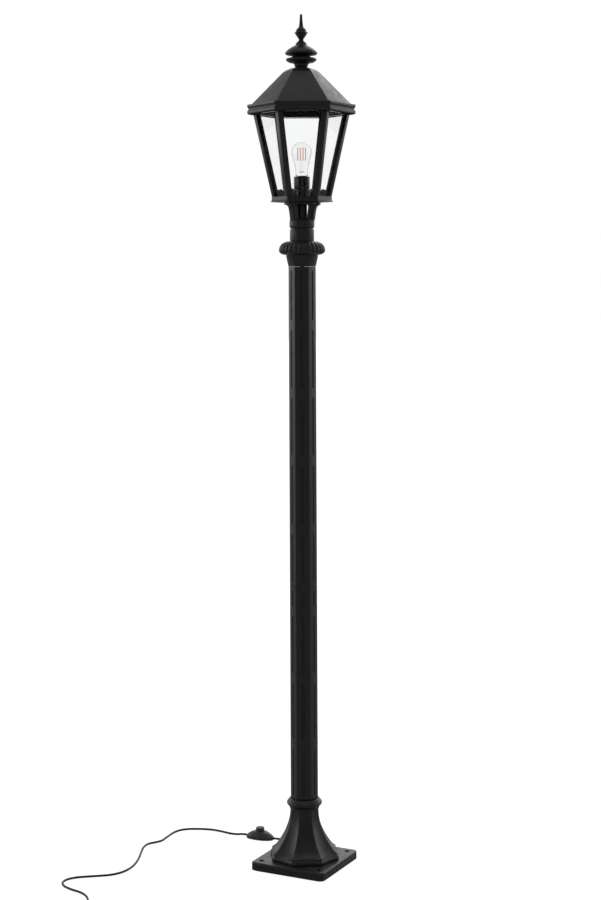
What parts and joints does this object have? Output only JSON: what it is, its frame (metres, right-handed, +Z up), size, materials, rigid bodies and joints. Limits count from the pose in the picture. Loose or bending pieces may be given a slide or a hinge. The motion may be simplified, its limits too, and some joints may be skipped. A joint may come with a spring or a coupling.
{
  "type": "street lantern floor lamp",
  "caption": "Tall floor lamp shaped like a street lamp: square base, bell pedestal, fluted hexagonal column and glazed hexagonal lantern with a lift-off roof, foot switch and cord.",
  "frame": {"origin": "on the floor under the column's axis, which is the centre of the lamp's own footprint", "axes": "+Z up along the column; -Y is the front, which a face of the hexagonal lantern looks towards; +X to the viewer's right"},
  "size_m": [0.6669, 0.6343, 1.955],
  "materials": {
    "powder_coat": "satin black powder coat over cast aluminium",
    "ballast_iron": "black painted iron plate",
    "rubber": "matt black rubber",
    "zinc_steel": "zinc plated steel",
    "clear_glass": "clear float glass",
    "black_phenolic": "gloss black phenolic moulding",
    "porcelain": "white glazed porcelain",
    "brass": "drawn brass",
    "switch_plastic": "fine-grained black plastic",
    "cable_jacket": "satin black PVC jacket",
    "nickel_pins": "nickel plated pins",
    "bulb_cap_metal": "pressed bulb cap",
    "filament": "orange phosphor-coated filaments on a glass stem"
  },
  "bodies": {
    "root": {"base_plate": "powder_coat", "pedestal": "powder_coat", "collar_ring": "powder_coat", "lower_column": "powder_coat", "upper_column": "powder_coat", "crown_bell": "powder_coat", "crown_ring": "powder_coat", "neck_drum": "powder_coat", "yoke": "powder_coat", "yoke_boss": "powder_coat", "lantern_floor": "powder_coat", "cornice": "powder_coat", "corner_post_1": "powder_coat", "corner_post_2": "powder_coat", "corner_post_3": "powder_coat", "corner_post_4": "powder_coat", "corner_post_5": "powder_coat", "corner_post_6": "powder_coat", "ballast_plate": "ballast_iron", "base_mat": "rubber", "cord_gland": "rubber", "coil_tie": "rubber", "plug_body": "rubber", "column_coupler": "zinc_steel", "tie_rod": "zinc_steel", "tie_nut": "zinc_steel", "roof_bridge": "zinc_steel", "roof_stud": "zinc_steel", "switch_spring": "zinc_steel", "pedestal_screw_1": "zinc_steel", "pedestal_screw_2": "zinc_steel", "pedestal_screw_3": "zinc_steel", "pedestal_screw_4": "zinc_steel", "glass_pane_1": "clear_glass", "glass_pane_2": "clear_glass", "glass_pane_3": "clear_glass", "glass_pane_4": "clear_glass", "glass_pane_5": "clear_glass", "glass_pane_6": "clear_glass", "holder_cap": "black_phenolic", "holder_shell": "black_phenolic", "holder_insert": "porcelain", "thread_shell": "brass", "switch_base": "switch_plastic", "switch_cover": "switch_plastic", "inner_flex": "cable_jacket", "cord_to_switch": "cable_jacket", "cord_main": "cable_jacket", "cord_coil": "cable_jacket", "plug_pin_1": "nickel_pins", "plug_pin_2": "nickel_pins"},
    "bulb": {"bulb_glass": "clear_glass", "bulb_cap": "bulb_cap_metal", "bulb_contact": "bulb_cap_metal", "bulb_stem": "filament"},
    "roof": {"roof_shell": "powder_coat"},
    "finial": {"finial_dish": "powder_coat", "finial_cap": "powder_coat", "finial_spike": "powder_coat"},
    "switch_button": {"switch_button": "switch_plastic"}
  },
  "joints": [
    {"name": "roof_lift", "type": "slide", "parent": "root", "child": "roof", "axis": [0, 0, 1], "range_m": [0, 0.14]},
    {"name": "finial_turn", "type": "hinge", "parent": "roof", "child": "finial", "pos_m": [0, 0, 1.8309], "axis": [0, 0, 1], "continuous": true},
    {"name": "bulb_withdraw", "type": "slide", "parent": "root", "child": "bulb", "axis": [0, 0, 1], "range_m": [0, 0.03]},
    {"name": "switch_press", "type": "slide", "parent": "root", "child": "switch_button", "axis": [0, 0, -1], "range_m": [0, 0.003], "stiffness_N_per_m": 150, "springref_m": -0.002, "deforming": ["switch_spring"]}
  ]
}
